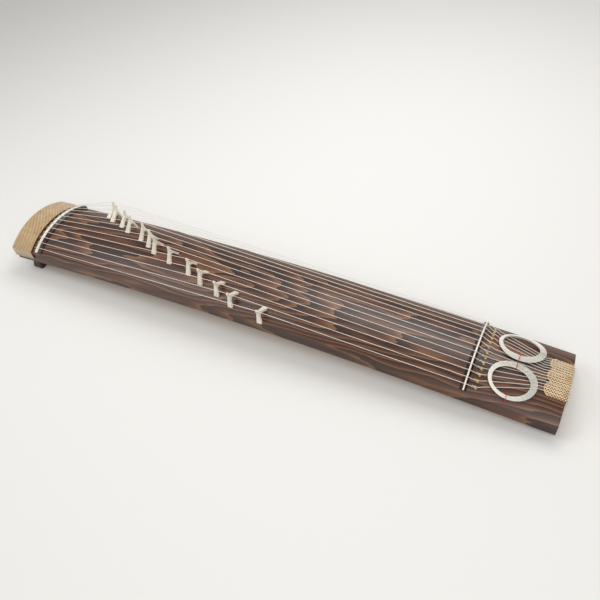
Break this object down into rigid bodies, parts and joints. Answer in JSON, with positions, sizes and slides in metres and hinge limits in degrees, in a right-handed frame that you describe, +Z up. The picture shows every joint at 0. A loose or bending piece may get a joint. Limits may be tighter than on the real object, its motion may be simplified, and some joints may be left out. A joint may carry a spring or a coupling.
{
  "type": "koto",
  "caption": "Long arched board zither with movable bridges under its strings, brocade head cover and coils of spare string at the tail.",
  "frame": {"origin": "on the ground under the middle of the instrument, with the soles of its four feet at height zero", "axes": "+X towards the tail, +Y towards the player's side, +Z up"},
  "size_m": [1.8295, 0.2702, 0.203],
  "materials": {
    "burnt_paulownia": "burnt and waxed, satin",
    "plain_paulownia": "planed, matte",
    "rosewood": "polished",
    "ivory_white": "smooth, satin gloss",
    "string_fibre": "twisted fibre",
    "ferrule_brass": "polished",
    "brocade": "woven gold brocade",
    "red_thread": "twisted thread"
  },
  "bodies": {
    "body": {"soundboard_shell": "burnt_paulownia", "back_board": "plain_paulownia", "head_block": "plain_paulownia", "tail_block": "plain_paulownia", "head_brace": "plain_paulownia", "tail_brace": "plain_paulownia", "head_end_plate": "rosewood", "ryukaku_base": "rosewood", "unkaku_base": "rosewood", "ryukaku_inlay": "ivory_white", "unkaku_inlay": "ivory_white", "head_cover": "brocade", "leaf_pad": "brocade", "head_foot_first_string_side": "rosewood", "head_foot_player_side": "rosewood", "tail_foot_first_string_side": "rosewood", "tail_foot_player_side": "rosewood", "spare_string_coil_player_side": "string_fibre", "spare_string_coil_far_side": "string_fibre", "middle_tie": "red_thread", "coil_tie": "red_thread", "string_01": "string_fibre", "string_02": "string_fibre", "string_03": "string_fibre", "string_04": "string_fibre", "string_05": "string_fibre", "string_06": "string_fibre", "string_07": "string_fibre", "string_08": "string_fibre", "string_09": "string_fibre", "string_10": "string_fibre", "string_11": "string_fibre", "string_12": "string_fibre", "string_13": "string_fibre", "string_hole_ferrule_01": "ferrule_brass", "string_hole_ferrule_02": "ferrule_brass", "string_hole_ferrule_03": "ferrule_brass", "string_hole_ferrule_04": "ferrule_brass", "string_hole_ferrule_05": "ferrule_brass", "string_hole_ferrule_06": "ferrule_brass", "string_hole_ferrule_07": "ferrule_brass", "string_hole_ferrule_08": "ferrule_brass", "string_hole_ferrule_09": "ferrule_brass", "string_hole_ferrule_10": "ferrule_brass", "string_hole_ferrule_11": "ferrule_brass", "string_hole_ferrule_12": "ferrule_brass", "string_hole_ferrule_13": "ferrule_brass"},
    "bridge_body_01": {"bridge_01": "ivory_white"},
    "bridge_body_02": {"bridge_02": "ivory_white"},
    "bridge_body_03": {"bridge_03": "ivory_white"},
    "bridge_body_04": {"bridge_04": "ivory_white"},
    "bridge_body_05": {"bridge_05": "ivory_white"},
    "bridge_body_06": {"bridge_06": "ivory_white"},
    "bridge_body_07": {"bridge_07": "ivory_white"},
    "bridge_body_08": {"bridge_08": "ivory_white"},
    "bridge_body_09": {"bridge_09": "ivory_white"},
    "bridge_body_10": {"bridge_10": "ivory_white"},
    "bridge_body_11": {"bridge_11": "ivory_white"},
    "bridge_body_12": {"bridge_12": "ivory_white"},
    "bridge_body_13": {"bridge_13": "ivory_white"}
  },
  "joints": [
    {"name": "bridge_slide_01", "type": "slide", "parent": "body", "child": "bridge_body_01", "axis": [0.9995, 0.0064, -0.03], "range_m": [-0.0435, 0.1], "deforming": ["string_01"]},
    {"name": "bridge_slide_02", "type": "slide", "parent": "body", "child": "bridge_body_02", "axis": [0.9997, 0.0054, -0.0218], "range_m": [-0.019, 0.0435], "deforming": ["string_02"]},
    {"name": "bridge_slide_03", "type": "slide", "parent": "body", "child": "bridge_body_03", "axis": [0.9998, 0.0044, -0.0177], "range_m": [-0.025, 0.019], "deforming": ["string_03"]},
    {"name": "bridge_slide_04", "type": "slide", "parent": "body", "child": "bridge_body_04", "axis": [0.9999, 0.0034, -0.0124], "range_m": [-0.0175, 0.025], "deforming": ["string_04"]},
    {"name": "bridge_slide_05", "type": "slide", "parent": "body", "child": "bridge_body_05", "axis": [1, 0.0023, -0.0082], "range_m": [-0.0325, 0.0175], "deforming": ["string_05"]},
    {"name": "bridge_slide_06", "type": "slide", "parent": "body", "child": "bridge_body_06", "axis": [1, 0.0011, -0.0014], "range_m": [-0.027, 0.0325], "deforming": ["string_06"]},
    {"name": "bridge_slide_07", "type": "slide", "parent": "body", "child": "bridge_body_07", "axis": [1, 0, 0.0046], "range_m": [-0.0085, 0.027], "deforming": ["string_07"]},
    {"name": "bridge_slide_08", "type": "slide", "parent": "body", "child": "bridge_body_08", "axis": [1, -0.0012, 0.0077], "range_m": [-0.013, 0.0085], "deforming": ["string_08"]},
    {"name": "bridge_slide_09", "type": "slide", "parent": "body", "child": "bridge_body_09", "axis": [0.9999, -0.0023, 0.0116], "range_m": [-0.0265, 0.013], "deforming": ["string_09"]},
    {"name": "bridge_slide_10", "type": "slide", "parent": "body", "child": "bridge_body_10", "axis": [0.9998, -0.0034, 0.0179], "range_m": [-0.0115, 0.0265], "deforming": ["string_10"]},
    {"name": "bridge_slide_11", "type": "slide", "parent": "body", "child": "bridge_body_11", "axis": [0.9998, -0.0044, 0.0219], "range_m": [-0.0195, 0.0115], "deforming": ["string_11"]},
    {"name": "bridge_slide_12", "type": "slide", "parent": "body", "child": "bridge_body_12", "axis": [0.9996, -0.0054, 0.0273], "range_m": [-0.0075, 0.0195], "deforming": ["string_12"]},
    {"name": "bridge_slide_13", "type": "slide", "parent": "body", "child": "bridge_body_13", "axis": [0.9995, -0.0063, 0.0308], "range_m": [-0.04, 0.0075], "deforming": ["string_13"]}
  ]
}
